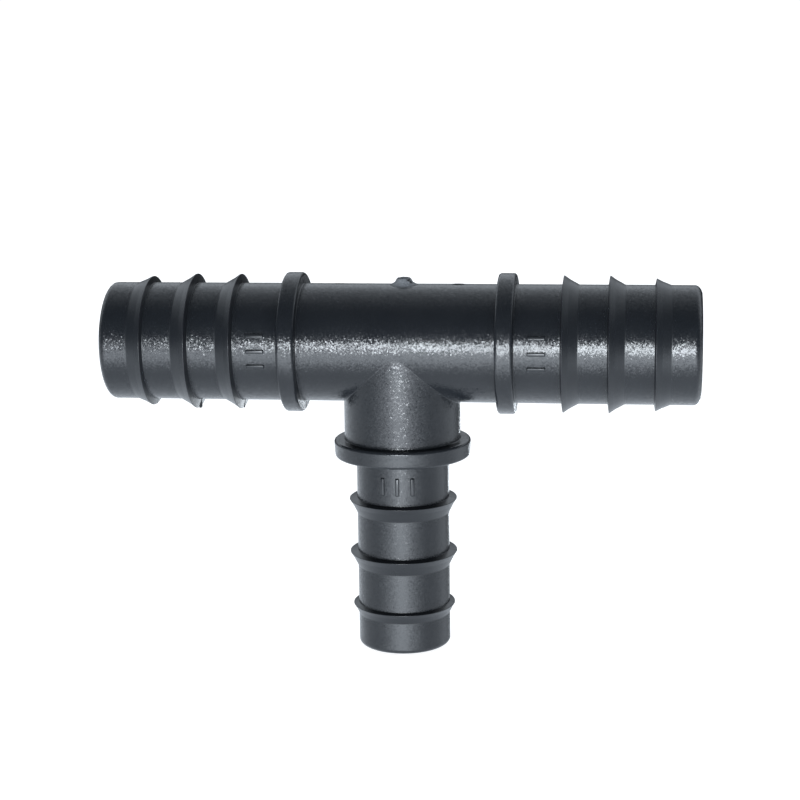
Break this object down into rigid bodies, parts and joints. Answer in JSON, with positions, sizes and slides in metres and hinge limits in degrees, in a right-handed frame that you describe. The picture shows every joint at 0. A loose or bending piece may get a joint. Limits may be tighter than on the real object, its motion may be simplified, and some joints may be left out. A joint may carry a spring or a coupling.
{
  "type": "barbed pipe tee",
  "caption": "Black moulded reducing tee that joins polyethylene irrigation pipes pushed over its barbed hose tails.",
  "frame": {"origin": "where the axes of the run and the branch cross, in the middle of the run's bore", "axes": "+X along the run, -Z down the branch, -Y out of the side that carries the size marks; the tee stands upright on its branch end"},
  "size_m": [0.1056, 0.0248, 0.068],
  "materials": {
    "moulded_plastic": "fine spark-eroded grain",
    "barb_plastic": "smoother turned-mould finish"
  },
  "bodies": {
    "root": {"tee_body": "moulded_plastic", "branch_neck": "moulded_plastic", "gate_stub": "moulded_plastic", "run_collar_left": "moulded_plastic", "run_tail_left": "moulded_plastic", "run_barb_left_inner": "barb_plastic", "run_barb_left_middle": "barb_plastic", "run_barb_left_lead": "barb_plastic", "size_mark_left": "barb_plastic", "run_collar_right": "moulded_plastic", "run_tail_right": "moulded_plastic", "run_barb_right_inner": "barb_plastic", "run_barb_right_middle": "barb_plastic", "run_barb_right_lead": "barb_plastic", "size_mark_right": "barb_plastic", "branch_collar": "moulded_plastic", "branch_tail": "moulded_plastic", "branch_barb_inner": "barb_plastic", "branch_barb_middle": "barb_plastic", "branch_barb_lead": "barb_plastic", "size_mark_branch": "barb_plastic"}
  },
  "joints": []
}
